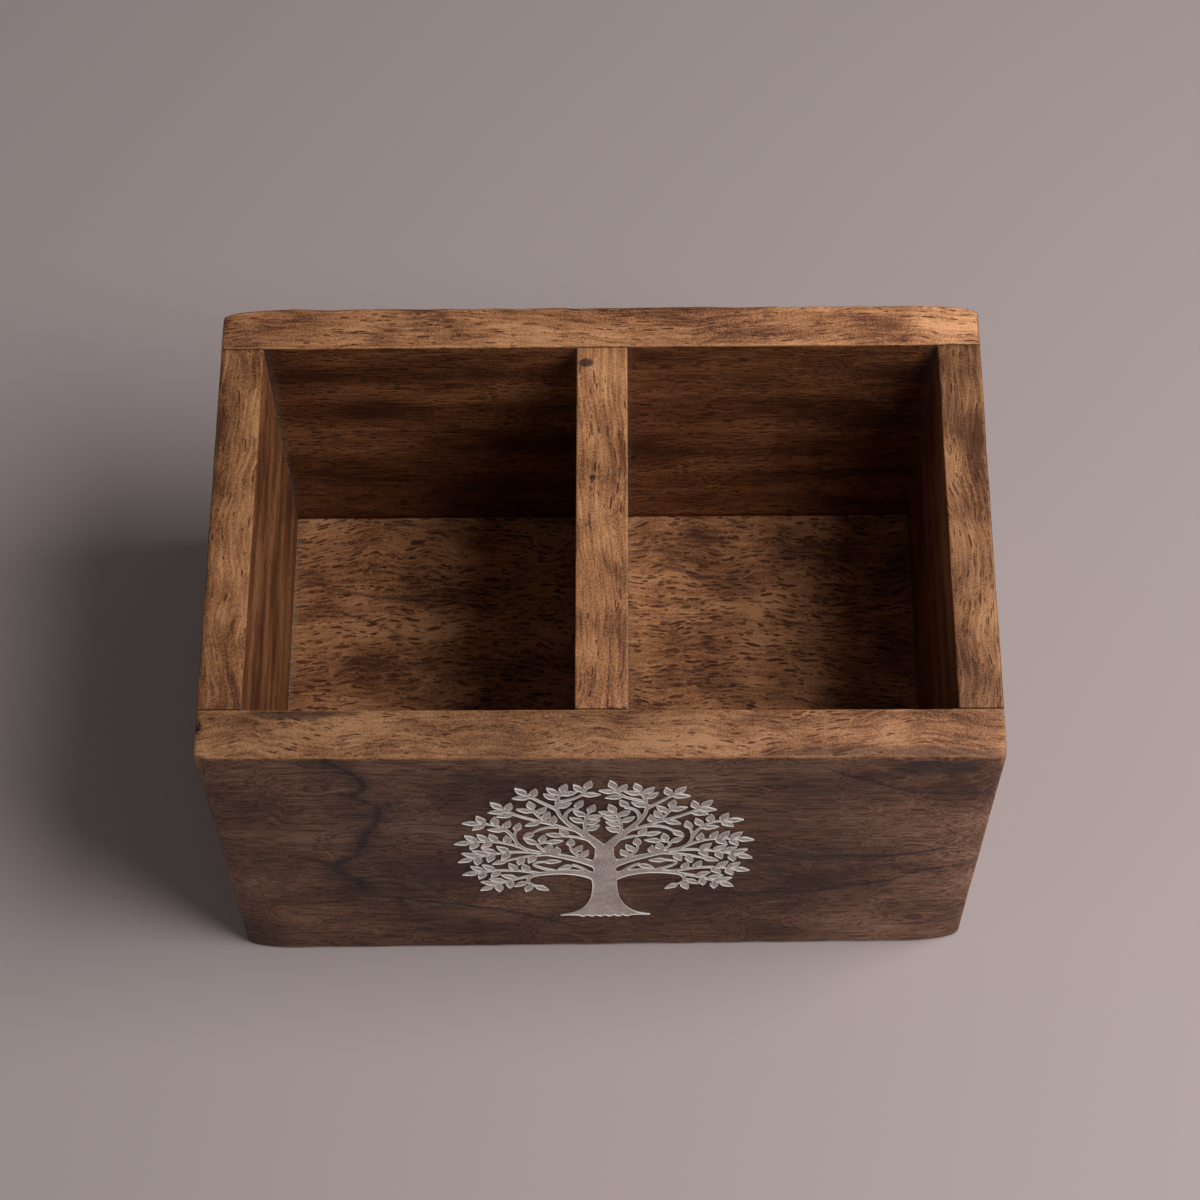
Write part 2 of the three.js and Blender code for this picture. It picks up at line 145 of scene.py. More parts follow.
FRONT_LOW, FRONT_HIGH = box_mm("front_board")
BACK_LOW, BACK_HIGH = box_mm("back_board")
LEFT_HIGH = box_mm("left_side_board")[1]
RIGHT_LOW = box_mm("right_side_board")[0]
DIVIDER_LOW, DIVIDER_HIGH = box_mm("divider")
FLOOR_LOW, FLOOR_HIGH = box_mm("floor_panel")
GROOVE_LOW = FLOOR_LOW - GROOVE_ROOM
GROOVE_HIGH = FLOOR_HIGH + GROOVE_ROOM
HALF_WIDTH = FRONT_HIGH[0]
RIM_HEIGHT = FRONT_HIGH[2]
FRONT_FACE = FRONT_LOW[1]
BACK_FACE = BACK_HIGH[1]


def lean_at(z):
    """How far the ends stand in at a height."""
    return END_LEAN * (1 - z / RIM_HEIGHT)


# Meshes

def mesh_object(name, points_mm, faces, attributes=None):
    """A smooth-shaded object from points in millimetres."""
    mesh = bpy.data.meshes.new(name)
    mesh.from_pydata((np.asarray(points_mm) * MM).tolist(), [], faces)
    mesh.validate()
    mesh.update()
    mesh.polygons.foreach_set("use_smooth", [True] * len(mesh.polygons))
    for key, values in (attributes or {}).items():
        layer = mesh.attributes.new(key, "FLOAT", "POINT")
        layer.data.foreach_set("value", np.asarray(values, dtype=np.float32))
    piece = bpy.data.objects.new(name, mesh)
    bpy.context.scene.collection.objects.link(piece)
    return piece


def askew(points):
    """Points of a true box, moved to where they are on the hand-built one."""
    moved = np.array(points, dtype=float)
    sideways = moved[:, 0] / HALF_WIDTH
    low_down = 1 - moved[:, 2] / RIM_HEIGHT
    to_back = np.clip((moved[:, 1] - FRONT_FACE) / (BACK_FACE - FRONT_FACE), 0, 1)
    moved[:, 1] += sideways * (FRONT_TWIST * low_down * (1 - to_back) + BACK_SKEW * to_back)
    return moved


def loft(ring_count, length):
    """Faces between rings of one length, listed from the bottom up."""
    faces = []
    for level in range(ring_count - 1):
        for index in range(length):
            here = level * length + index
            after = level * length + (index + 1) % length
            faces.append((here, after, after + length, here + length))
    return faces


def inside(points, loops):
    """Which points lie inside the loops, found by counting the edges to the right of each."""
    odd = np.zeros(len(points), dtype=bool)
    for loop in loops:
        for here, after in zip(loop, np.roll(loop, -1, axis=0)):
            if here[1] == after[1]:
                continue
            spans = (points[:, 1] >= min(here[1], after[1])) & (points[:, 1] < max(here[1], after[1]))
            crossing = here[0] + (points[:, 1] - here[1]) * (after[0] - here[0]) / (after[1] - here[1])
            odd ^= spans & (points[:, 0] < crossing)
    return odd


def loop_edges(loops):
    """Edges along each of some loops whose points follow one another."""
    edges = []
    start = 0
    for loop in loops:
        count = len(loop)
        edges += [(start + index, start + (index + 1) % count) for index in range(count)]
        start += count
    return edges


def triangles_within(points, edges, loops):
    """Triangles along the edges that fill the loops: their points, their faces, and each point's source."""
    found = geometry.delaunay_2d_cdt([Vector(point) for point in points], edges, [], 0, SAME_POINT)
    places = np.array(found[0])
    faces = np.array(found[2])
    kept = faces[inside(places[faces].mean(axis=1), loops)]
    return places, kept.tolist(), found[3]


def cap(ring, grid, start):
    """Faces that close a ring, over its points and then a grid's, numbered from a start."""
    points = np.concatenate([ring, grid]) if len(grid) else ring
    places, faces, sources = triangles_within(points, loop_edges([ring]), [ring])
    return [tuple(start + sources[index][0] for index in face) for face in faces]


# Boards

SIDE_ORDER = ("front", "right", "back", "left")
BOARD_SIDES = {
    "front_board": {"left": "outer", "right": "outer", "front": "outer", "back": "inner"},
    "back_board": {"left": "outer", "right": "outer", "front": "inner", "back": "outer"},
    "left_side_board": {"left": "outer", "right": "inner", "front": "joint", "back": "joint"},
    "right_side_board": {"left": "inner", "right": "outer", "front": "joint", "back": "joint"},
    "divider": {"left": "inner", "right": "inner", "front": "joint", "back": "joint"},
}


def rounded(arris, drop):
    """How far a quarter-round edge stands in, at a drop below its top."""
    if drop >= arris:
        return 0.0
    return arris * (1 - math.sqrt(1 - (1 - drop / arris) ** 2))


def meets_a_joint(x):
    """True where another board butts against the front or the back."""
    return x < LEFT_HIGH[0] or x > RIGHT_LOW[0] or DIVIDER_LOW[0] < x < DIVIDER_HIGH[0]


def local_inset(kind, place, long_way, drop, rise, seed):
    """How far one side of a board stands in at a place along it, near its rim or its foot."""
    if kind == "inner" and long_way and meets_a_joint(place):
        kind = "joint"
    variety = 1 + ARRIS_VARIETY * noise.noise((place / ARRIS_WAVE, seed, 0.5))
    return rounded(RIM_ARRIS[kind] * variety, drop) + rounded(FOOT_ARRIS[kind] * variety, rise)


def corner_rounding(kinds, at_back, z):
    """Rounding of an upright corner, across and deep."""
    if kinds != ("outer", "outer"):
        return np.array(SQUARE_CORNER)
    share = z / RIM_HEIGHT
    rim = np.array(RIM_BACK_CORNER if at_back else RIM_FRONT_CORNER)
    return np.array(FOOT_CORNER) * (1 - share) + rim * share


def board_ring(name, z):
    """A board's outline at one height, anticlockwise from its front left corner."""
    sides = BOARD_SIDES[name]
    low, high = box_mm(name)
    lean = lean_at(z)
    x0, x1 = low[0], high[0]
    if sides["left"] == "outer":
        x0 += lean
    if sides["right"] == "outer":
        x1 -= lean
    if name == "left_side_board":
        x1 += lean - END_LEAN
    if name == "right_side_board":
        x0 += END_LEAN - lean
    starts = {"front": (x0, low[1]), "right": (x1, low[1]), "back": (x1, high[1]), "left": (x0, high[1])}
    runs = {"front": (1, 0), "right": (0, 1), "back": (-1, 0), "left": (0, -1)}
    groove_ends = dict(zip(SIDE_ORDER, (GROOVE_HIGH[1], GROOVE_LOW[0], GROOVE_LOW[1], GROOVE_HIGH[0])))
    in_groove = low[2] < FLOOR_LOW[2] and GROOVE_LOW[2] < z < GROOVE_HIGH[2]
    drop, rise = high[2] - z, z - low[2]
    points = []
    for index, side in enumerate(SIDE_ORDER):
        before, after = SIDE_ORDER[index - 1], SIDE_ORDER[(index + 1) % 4]
        way = 0 if side in ("front", "back") else 1
        run = np.array(runs[side])
        inward = np.array((-run[1], run[0]))
        here = corner_rounding((sides[before], sides[side]), "back" in (before, side), z)
        there = corner_rounding((sides[side], sides[after]), "back" in (side, after), z)
        first = np.array(starts[side]) + run * here[way]
        last = np.array(starts[after]) - run * there[way]
        seed = low.sum() / 3 + index

        def inset_at(place):
            groove_floor = abs(place[1 - way] - groove_ends[side])
            by_floor = way == 1 or GROOVE_LOW[0] < place[0] < GROOVE_HIGH[0]
            if in_groove and sides[side] == "inner" and by_floor:
                return groove_floor
            return local_inset(sides[side], place[way], way == 0, drop, rise, seed)

        count = max(2, round((high - low)[way] / POINT_SPACING))
        for station in range(count + 1):
            place = first + (last - first) * station / count
            points.append(place + inward * inset_at(place))
        inset = min(inset_at(last), there.min())
        centre = last + inward * there[1 - way]
        for step in range(1, CORNER_STEPS):
            angle = step / CORNER_STEPS * math.pi / 2
            out = run * math.sin(angle) * (there[way] - inset)
            out = out - inward * math.cos(angle) * (there[1 - way] - inset)
            points.append(centre + out)
    return np.array(points)


def board_heights(name):
    """Heights of a board's rings, close together at its edges and at the floor's groove."""
    low, high = box_mm(name)
    bottom, top = low[2], high[2]
    heights = [bottom + drop for drop in EDGE_DROPS] + [top - drop for drop in EDGE_DROPS]
    steps = round((top - bottom) / WALL_SPACING)
    span_low, span_high = bottom + EDGE_DROPS[-1], top - EDGE_DROPS[-1]
    heights += [span_low + (span_high - span_low) * step / steps for step in range(1, steps)]
    if bottom < FLOOR_LOW[2]:
        for edge in (GROOVE_LOW[2], GROOVE_HIGH[2]):
            heights += [edge - GROOVE_EDGE, edge + GROOVE_EDGE]
    return sorted(heights)


def grid_within(loop, spacing):
    """A grid of points that keep half a spacing away from the loop around them."""
    low, high = loop.min(axis=0), loop.max(axis=0)
    columns = np.arange(low[0] + spacing / 2, high[0], spacing)
    rows = np.arange(low[1] + spacing / 2, high[1], spacing)
    grid = np.array([(x, y) for y in rows for x in columns])
    grid = grid[inside(grid, [loop])]
    shore = kdtree.KDTree(len(loop))
    for index, point in enumerate(loop):
        shore.insert((*point, 0), index)
    shore.balance()
    return np.array([point for point in grid if shore.find((*point, 0))[2] > spacing / 2])


def sanded(points, name):
    """The same points with the slow waves of hand sanding and the dents along the edges."""
    low, high = box_mm(name)
    moved = points.copy()
    top_zone = np.clip((points[:, 2] - (high[2] - SANDED_RIM)) / SANDED_RIM, 0, 1)
    for index, point in enumerate(points):
        wave = sum(size * noise.noise(Vector(point) / length) for length, size in SANDING_WAVES)
        moved[index, 2] += wave * top_zone[index]
        if point[1] < FRONT_FACE + SANDED_FACES or point[1] > BACK_FACE - SANDED_FACES:
            moved[index, 1] += wave
        if abs(point[0]) > HALF_WIDTH - SANDED_ENDS:
            moved[index, 0] += wave
    middle = (low + high) / 2
    for dent in DENTS:
        spot = np.array(dent["at"])
        away = np.linalg.norm(points - spot, axis=1) / dent["radius"]
        push = dent["depth"] * np.clip(1 - away ** 2, 0, 1) ** 2
        inward = np.clip(middle - spot, -dent["radius"], dent["radius"])
        moved += push[:, None] * inward / np.linalg.norm(inward)
    return moved


def edge_closeness(points, name):
    """For each point, 1 at the rim's and the corners' edges, falling to 0 a few millimetres away."""
    sides = BOARD_SIDES[name]
    low, high = box_mm(name)
    gaps = {
        "left": points[:, 0] - low[0],
        "right": high[0] - points[:, 0],
        "front": points[:, 1] - low[1],
        "back": high[1] - points[:, 1],
    }
    below = high[2] - points[:, 2]
    closeness = np.zeros(len(points))
    for side, kind in sides.items():
        if kind == "joint":
            continue
        off_edge = np.maximum(np.abs(gaps[side]), below)
        closeness = np.maximum(closeness, np.exp(-off_edge / EDGE_REACH[kind]))
    for side in ("left", "right"):
        for face in ("front", "back"):
            if sides[side] == "outer" and sides[face] == "outer":
                off_corner = np.maximum(np.abs(gaps[side]), np.abs(gaps[face]))
                closeness = np.maximum(closeness, np.exp(-off_corner / CORNER_REACH))
    return closeness


def joint_closeness(points, name):
    """For each point, 1 where two boards meet, falling to 0 a few millimetres away."""
    sides = BOARD_SIDES[name]
    low, high = box_mm(name)
    if sides["front"] == "joint":
        return np.exp(-np.minimum(points[:, 1] - low[1], high[1] - points[:, 1]) / JOINT_REACH)
    off_face = high[1] - points[:, 1] if sides["back"] == "inner" else points[:, 1] - low[1]
    meets = np.array([meets_a_joint(x) for x in points[:, 0]])
    return np.exp(-np.abs(off_face) / JOINT_REACH) * meets


def nook_closeness(points):
    """For each point, 1 in the inner corners of the compartments, falling to 0 away from them."""
    inner_x = [LEFT_HIGH[0] - END_LEAN / 2, DIVIDER_LOW[0], DIVIDER_HIGH[0], RIGHT_LOW[0] + END_LEAN / 2]
    inner_y = [FRONT_HIGH[1], BACK_LOW[1]]
    gap_x = np.min([np.abs(points[:, 0] - x) for x in inner_x], axis=0)
    gap_y = np.min([np.abs(points[:, 1] - y) for y in inner_y], axis=0)
    gap_z = np.abs(points[:, 2] - FLOOR_HIGH[2])
    to_second = np.sort([gap_x, gap_y, gap_z], axis=0)[1]
    within = np.abs(points[:, 0]) < RIGHT_LOW[0] + END_LEAN + NOOK_SLACK
    within &= points[:, 2] > FLOOR_HIGH[2] - NOOK_SLACK
    within &= points[:, 1] > FRONT_HIGH[1] - NOOK_SLACK
    within &= points[:, 1] < BACK_LOW[1] + NOOK_SLACK
    return np.exp(-to_second / NOOK_REACH) * within


def stacked(rings, heights, grid, grid_heights):
    """Points and faces of a stack of rings, closed by a plain cap below and by a grid on top."""
    length = len(rings[0])
    walls = [np.column_stack([ring, np.full(length, z)]) for ring, z in zip(rings, heights)]
    points = np.concatenate([*walls, np.column_stack([grid, grid_heights])])
    faces = loft(len(rings), length)
    faces += [face[::-1] for face in cap(rings[0], [], 0)]
    faces += cap(rings[-1], grid, (len(rings) - 1) * length)
    return points, faces


def board(name, material):
    """One upright board, drawn as rings from its foot to its rim, with a cap at each end."""
    heights = board_heights(name)
    rings = [board_ring(name, z) for z in heights]
    grid = grid_within(rings[-1], CAP_GRID)
    points, faces = stacked(rings, heights, grid, np.full(len(grid), heights[-1]))
    attributes = {
        "edge": edge_closeness(points, name),
        "joint": joint_closeness(points, name),
        "nook": nook_closeness(points),
    }
    piece = mesh_object(name + "_looks", askew(sanded(points, name)), faces, attributes)
    dress(piece, name, material)


def dress(piece, node, material):
    """Give a piece its material, hang it under the root body, and hide the node it stands for."""
    piece.data.materials.append(material)
    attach(piece, "root")
    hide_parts(node)


def floor_panel(material):
    """The floor panel, eased along its edges and gently uneven on top."""
    low, high = box_mm("floor_panel")
    levels = [
        (low[2], FLOOR_EASE), (low[2] + FLOOR_EASE, 0), (high[2] - FLOOR_EASE, 0), (high[2], FLOOR_EASE)
    ]

    def ring(inset):
        columns = np.linspace(low[0] + inset, high[0] - inset, round((high - low)[0] / FLOOR_GRID))
        rows = np.linspace(low[1] + inset, high[1] - inset, round((high - low)[1] / FLOOR_GRID))
        front = [(x, rows[0]) for x in columns[:-1]]
        right = [(columns[-1], y) for y in rows[:-1]]
        back = [(x, rows[-1]) for x in columns[:0:-1]]
        left = [(columns[0], y) for y in rows[:0:-1]]
        return np.array(front + right + back + left)

    rings = [ring(inset) for z, inset in levels]
    grid = grid_within(rings[-1], FLOOR_GRID)
    wave, size = FLOOR_WAVE
    uneven = np.array([size * noise.noise((x / wave, y / wave, 0)) - FLOOR_DIP for x, y in grid])
    points, faces = stacked(rings, [z for z, inset in levels], grid, high[2] + uneven)
    still = np.zeros(len(points))
    attributes = {"edge": still, "joint": still, "nook": nook_closeness(points)}
    piece = mesh_object("floor_panel_looks", askew(points), faces, attributes)
    dress(piece, "floor_panel", material)


# Metal tree

def rim_edges(faces):
    """The edges that only one face has, in that face's direction."""
    edges = set()
    for face in faces:
        for here, after in zip(face, face[1:] + face[:1]):
            if (after, here) in edges:
                edges.remove((after, here))
            else:
                edges.add((here, after))
    return sorted(edges)


def tree_loops():
    """Outlines of the tree plate's front as loops of (x, z), with the metal on their left."""
    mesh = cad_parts["metal_tree"].data
    places = [(round(v.co.x / MM, 3), round(v.co.z / MM, 3)) for v in mesh.vertices]
    front = [face for face in mesh.polygons if face.normal.y <= PLATE_FRONT_FACING]
    following = {}
    for here, after in rim_edges([[places[index] for index in face.vertices] for face in front]):
        following.setdefault(here, []).append(after)
    loops = []
    while following:
        start = min(following)
        loop = [start]
        while True:
            here = loop[-1]
            after = following[here].pop()
            if not following[here]:
                del following[here]
            if after == start:
                break
            loop.append(after)
        loops.append(np.array(loop))
    return loops


def is_sharp(before, here, after):
    """True at a pointed corner that stands out, such as a leaf's tip."""
    came = here - before
    goes = after - here
    turn = math.atan2(came[0] * goes[1] - came[1] * goes[0], float(np.dot(came, goes)))
    return turn > SHARP_TURN


def smooth_loop(loop):
    """A loop with its corners cut twice, its sharp tips kept, and its points evenly spread."""
    points = thinned([(point, False) for point in loop], OUTLINE_SPACING / 2)
    plain = [point for point, kept in points]
    count = len(plain)
    marked = [
        (plain[index], is_sharp(plain[index - 1], plain[index], plain[(index + 1) % count]))
        for index in range(count)
    ]
    for _ in range(CORNER_CUTS):
        cut = []
        for index, (point, kept) in enumerate(marked):
            if kept:
                cut.append((point, True))
                continue
            before = marked[index - 1][0]
            after = marked[(index + 1) % len(marked)][0]
            cut.append(((1 - CORNER_CUT) * point + CORNER_CUT * before, False))
            cut.append(((1 - CORNER_CUT) * point + CORNER_CUT * after, False))
        marked = cut
    return np.array([point for point, kept in thinned(marked, OUTLINE_SPACING)])


def thinned(marked, spacing):
    """Marked points without those closer than a spacing to the one before."""
    result = [marked[0]]
    for point, kept in marked[1:]:
        far_enough = np.linalg.norm(point - result[-1][0]) >= spacing
        if kept and not far_enough and not result[-1][1] and len(result) > 1:
            result[-1] = (point, True)
        elif far_enough:
            result.append((point, kept))
    if len(result) > 3 and np.linalg.norm(result[0][0] - result[-1][0]) < spacing / 2:
        result.pop()
    return result


def relief_points(loops, outline, distance):
    """Points inside the loops: rings that follow the edges, and a grid between them."""
    inner = []
    for loop in loops:
        ahead = np.roll(loop, -1, axis=0) - np.roll(loop, 1, axis=0)
        ahead /= np.linalg.norm(ahead, axis=1)[:, None]
        inward = np.column_stack([-ahead[:, 1], ahead[:, 0]])
        for depth in RELIEF_RINGS:
            inner += [point for point in loop + inward * depth if distance(point) > RING_ROOM * depth]
    low, high = outline.min(axis=0), outline.max(axis=0)
    grid = np.array([
        (x, z)
        for z in np.arange(low[1], high[1], RELIEF_GRID)
        for x in np.arange(low[0], high[0], RELIEF_GRID)
    ])
    inner += [point for point in grid if distance(point) > RELIEF_RINGS[-1] + RELIEF_GRID / 3]
    inner = np.array(inner)
    return inner[inside(inner, loops)]


def metal_tree(material):
    """The cut-out tree, gently dished inside its edges."""
    loops = [smooth_loop(loop) for loop in tree_loops()]
    loops = [loop for loop in loops if len(loop) > 3]
    outline = np.concatenate(loops)
    shore = kdtree.KDTree(2 * len(outline))
    for number, (here, after) in enumerate(loop_edges(loops)):
        shore.insert((*outline[here], 0), 2 * number)
        shore.insert((*(outline[here] + outline[after]) / 2, 0), 2 * number + 1)
    shore.balance()

    def distance(point):
        return shore.find((point[0], point[1], 0))[2]

    points = np.concatenate([outline, relief_points(loops, outline, distance)])
    places, faces, sources = triangles_within(points, loop_edges(loops), loops)
    depths = np.array([distance(place) for place in places])
    depths[[not source or min(source) < len(outline) for source in sources]] = 0
    dish = 1 - (1 - np.clip(depths / TREE_DISH_REACH, 0, 1)) ** 2
    heights = TREE_EDGE_HEIGHT - TREE_DISH * dish
    front = np.column_stack([places[:, 0], FRONT_FACE - heights, places[:, 1]])

    rim = rim_edges(faces)
    rim_points = sorted({point for edge in rim for point in edge})
    number = {point: index for index, point in enumerate(rim_points)}
    rim_places = places[rim_points]
    flat = np.full(len(rim_points), FRONT_FACE + TREE_SINK)
    back = np.column_stack([rim_places[:, 0], flat, rim_places[:, 1]])
    numbered = [(number[here], number[after]) for here, after in rim]
    back_faces = triangles_within(rim_places, numbered, loops)[1]
    count = len(places)
    faces += [tuple(count + index for index in face[::-1]) for face in back_faces]
    faces += [(after, here, count + number[here], count + number[after]) for here, after in rim]
    raised = np.concatenate([np.ones(count), np.zeros(len(rim_points))])
    # 1 along the dished edges, which the metal paints with a highlight
    painted_highlight = np.concatenate([1 - dish, np.zeros(len(rim_points))])
    attributes = {"raised": raised, "painted_highlight": painted_highlight}
    piece = mesh_object("metal_tree_looks", askew(np.concatenate([front, back])), faces, attributes)
    piece.data.set_sharp_from_angle(angle=TREE_SHARP_EDGE)
    dress(piece, "metal_tree", material)


# Materials

class Shade:
    """A material whose nodes are wired up as they are made."""

    def __init__(self, name):
        self.material = bpy.data.materials.new(name)
        self.material.use_nodes = True
        self.tree = self.material.node_tree
        self.shader = self.tree.nodes["Principled BSDF"]

    def put(self, socket, value):
        """Link a node's output to a socket, or set a constant on it."""
        if isinstance(value, bpy.types.NodeSocket):
            self.tree.links.new(value, socket)
        else:
            socket.default_value = value

    def add(self, kind, inputs, output=0, **settings):
        node = self.tree.nodes.new(kind)
        for key, value in settings.items():
            setattr(node, key, value)
        for key, value in inputs.items():
            self.put(node.inputs[key], value)
        return node.outputs[output]

    def finish(self, name, value):
        self.put(self.shader.inputs[name], value)

    def math(self, operation, first, second=0.0):
        return self.add("ShaderNodeMath", {0: first, 1: second}, operation=operation)

    def plus(self, first, second):
        return self.math("ADD", first, second)

    def times(self, first, second):
        return self.math("MULTIPLY", first, second)

    def total(self, *parts):
        """The sum of some values, each times its share."""
        result = 0.0
        for value, share in parts:
            result = self.plus(result, self.times(value, share))
        return result

    def step(self, value, start, end):
        """0 at the start, 1 at the end, smooth between."""
        inputs = {"Value": value, "From Min": start, "From Max": end}
        return self.add("ShaderNodeMapRange", inputs, interpolation_type="SMOOTHSTEP")

    def blend(self, share, first, second, how="MIX"):
        """The first colour with a share of the second."""
        inputs = {0: share, 6: first, 7: second}
        return self.add("ShaderNodeMix", inputs, 2, data_type="RGBA", blend_type=how)

    def strongest(self, masks):
        """The greatest of some masks at each place."""
        result = masks[0]
        for mask in masks[1:]:
            result = self.math("MAXIMUM", result, mask)
        return result

    def vector(self, x, y, z):
        return self.add("ShaderNodeCombineXYZ", {0: x, 1: y, 2: z})

    def noise(self, vector, scale, detail=2.0, roughness=0.5, output=0):
        inputs = {"Vector": vector, "Scale": scale, "Detail": detail, "Roughness": roughness}
        return self.add("ShaderNodeTexNoise", inputs, output)

    def ramp(self, value, stops):
        """A colour read off stops of (value, colour)."""
        node = self.tree.nodes.new("ShaderNodeValToRGB")
        self.put(node.inputs[0], value)
        elements = node.color_ramp.elements
        while len(elements) < len(stops):
            elements.new(0.5)
        for element, (place, colour) in zip(elements, stops):
            element.position = place
            element.color = (*colour, 1.0)
        return node.outputs[0]

    def curve(self, value, points):
        """A value read off a smooth curve through points of (value, result)."""
        points = sorted(points)
        places = [place for place, result in points]
        results = [result for place, result in points]
        low, high, bottom, top = min(places), max(places), min(results), max(results)
        node = self.tree.nodes.new("ShaderNodeFloatCurve")
        share = self.add("ShaderNodeMapRange", {"Value": value, "From Min": low, "From Max": high})
        self.put(node.inputs["Value"], share)
        handles = node.mapping.curves[0].points
        while len(handles) < len(points):
            handles.new(0.5, 0.5)
        for handle, (place, result) in zip(handles, points):
            handle.location = ((place - low) / (high - low), (result - bottom) / (top - bottom))
        node.mapping.update()
        return self.add("ShaderNodeMapRange", {"Value": node.outputs[0], "To Min": bottom, "To Max": top})

    def attribute(self, name):
        return self.add("ShaderNodeAttribute", {}, 2, attribute_name=name)

    def split(self, vector):
        node = self.tree.nodes.new("ShaderNodeSeparateXYZ")
        self.put(node.inputs[0], vector)
        return node.outputs

    def facing(self):
        """The way the surface faces, as x, y and z."""
        return self.split(self.add("ShaderNodeNewGeometry", {}, 1))

    def place_mm(self):
        """The place on the object in millimetres."""
        place = self.add("ShaderNodeTexCoord", {}, 3)
        return self.add("ShaderNodeVectorMath", {0: place, "Scale": 1 / MM}, operation="SCALE")

    def bump(self, height_mm):
        normal = self.add("ShaderNodeBump", {"Height": height_mm, "Distance": MM})
        self.finish("Normal", normal)


# Wood

# Tones of the wood at places along its figure, from the dark patches to the pale ones
TONES = (
    (0.42, (0.095, 0.035, 0.015)),
    (0.47, (0.205, 0.087, 0.036)),
    (0.525, (0.335, 0.150, 0.062)),
    (0.59, (0.505, 0.257, 0.118)),
)

# Noises drawn out along the grain: scale along it, scale across it, detail and roughness
FIGURE = (0.022, 0.075, 3.0, 0.55)
MOTTLE = (0.02, 0.10, 2.0, 0.5)
FIBRE = (0.10, 1.3, 3.0, 0.6)
LINES = (0.015, 3.0, 3.0, 0.55)

# Noises that are the same all ways: scale, detail and roughness
WANDER = (0.016, 3.0, 0.6)
BLOTCH = (0.07, 2.0, 0.5)
PORE_PATCH = (0.05, 2.0, 0.5)
SPECK = (2.6, 2.0, 0.7)
SCUFF = (0.9, 3.0, 0.65)
FLECK = (2.2, 2.0, 0.6)

# What each noise adds to the tone
FIGURE_SHARE = 0.34
FIBRE_SHARE = 0.26
SPECK_SHARE = 0.28
FLAT_BLOTCH_SHARE = 0.22
UPRIGHT_BLOTCH_SHARE = 0.06
TONE_SHIFT = 0.06

# Down the boards: the figure's scale next to across them, the pores' next to the figure's, the waver's share
FLAT_GRAIN = 0.5
PORE_DEPTH = 1.8
DEEP_WAVER = 0.5

# Dark lines and pores. A sort of pore has its cells per millimetre and its share of the density.
DARK_COLOUR = (0.054, 0.014, 0.005, 1.0)
LINE_EDGES = (0.46, 0.68)
LINES_ON_TOP = 0.08
PORE_SORTS = (
    {"across": 2.2, "along": 0.21, "common": 1.0},
    {"across": 2.6, "along": 0.45, "common": 0.6},
)
PORE_SIZE = 0.55
PORE_EDGES = (1.0, 0.72)
PORE_CHANCE = 0.03
PORE_COVER = 0.6
PORE_VARIETY = 0.35
PATCH_EDGES = (0.36, 0.64)
PATCH_PORES = 0.24

# Layers of age, each where a closeness, scattered by a noise, passes its edges. The worn edges also carry a
# painted highlight.
WEAR_AND_HIGHLIGHT = {"colour": (0.450, 0.205, 0.070, 1.0), "cover": 0.65, "scatter": 0.5, "edges": (0.45, 0.85)}
GRIME = {"colour": (0.035, 0.012, 0.007, 1.0), "cover": 0.7, "scatter": 1.4, "edges": (0.6, 1.2)}
FILM = {"colour": (0.190, 0.120, 0.085, 1.0), "cover": 0.4, "scatter": 1.0, "edges": (0.2, 1.0)}
FLECKS = {"colour": (0.420, 0.290, 0.195, 1.0), "cover": 0.6, "scatter": 2.6, "edges": (0.95, 1.2)}
WEAR_AND_HIGHLIGHT_HEIGHTS = (RIM_HEIGHT - 8, RIM_HEIGHT - 3)

# Where a face counts as upright, as the front or as the top, by the way it faces
UPRIGHT_FACING = (0.85, 0.35)
FRONT_FACING = (-0.4, -0.9)
TOP_FACING = (0.2, 0.6)

# The tint of most upright faces, partly their own colour and partly painted shade, and where painted light
# makes the front and the rims paler, left to right
PLAIN_STAIN_AND_SHADE = (0.66, 0.54, 0.48, 1.0)
PAINTED_LIGHT_TURNS = (40, 88)
RIM_PAINTED_LIGHT_TURNS = (-30, 90)

WOOD_SPECULAR = 0.22
WOOD_ROUGHNESS = 0.42
FIBRE_ROUGHNESS = 0.2
DARK_ROUGHNESS = 0.2
FIBRE_RELIEF = 0.05
SPECK_RELIEF = 0.05
DARK_RELIEF = -0.1


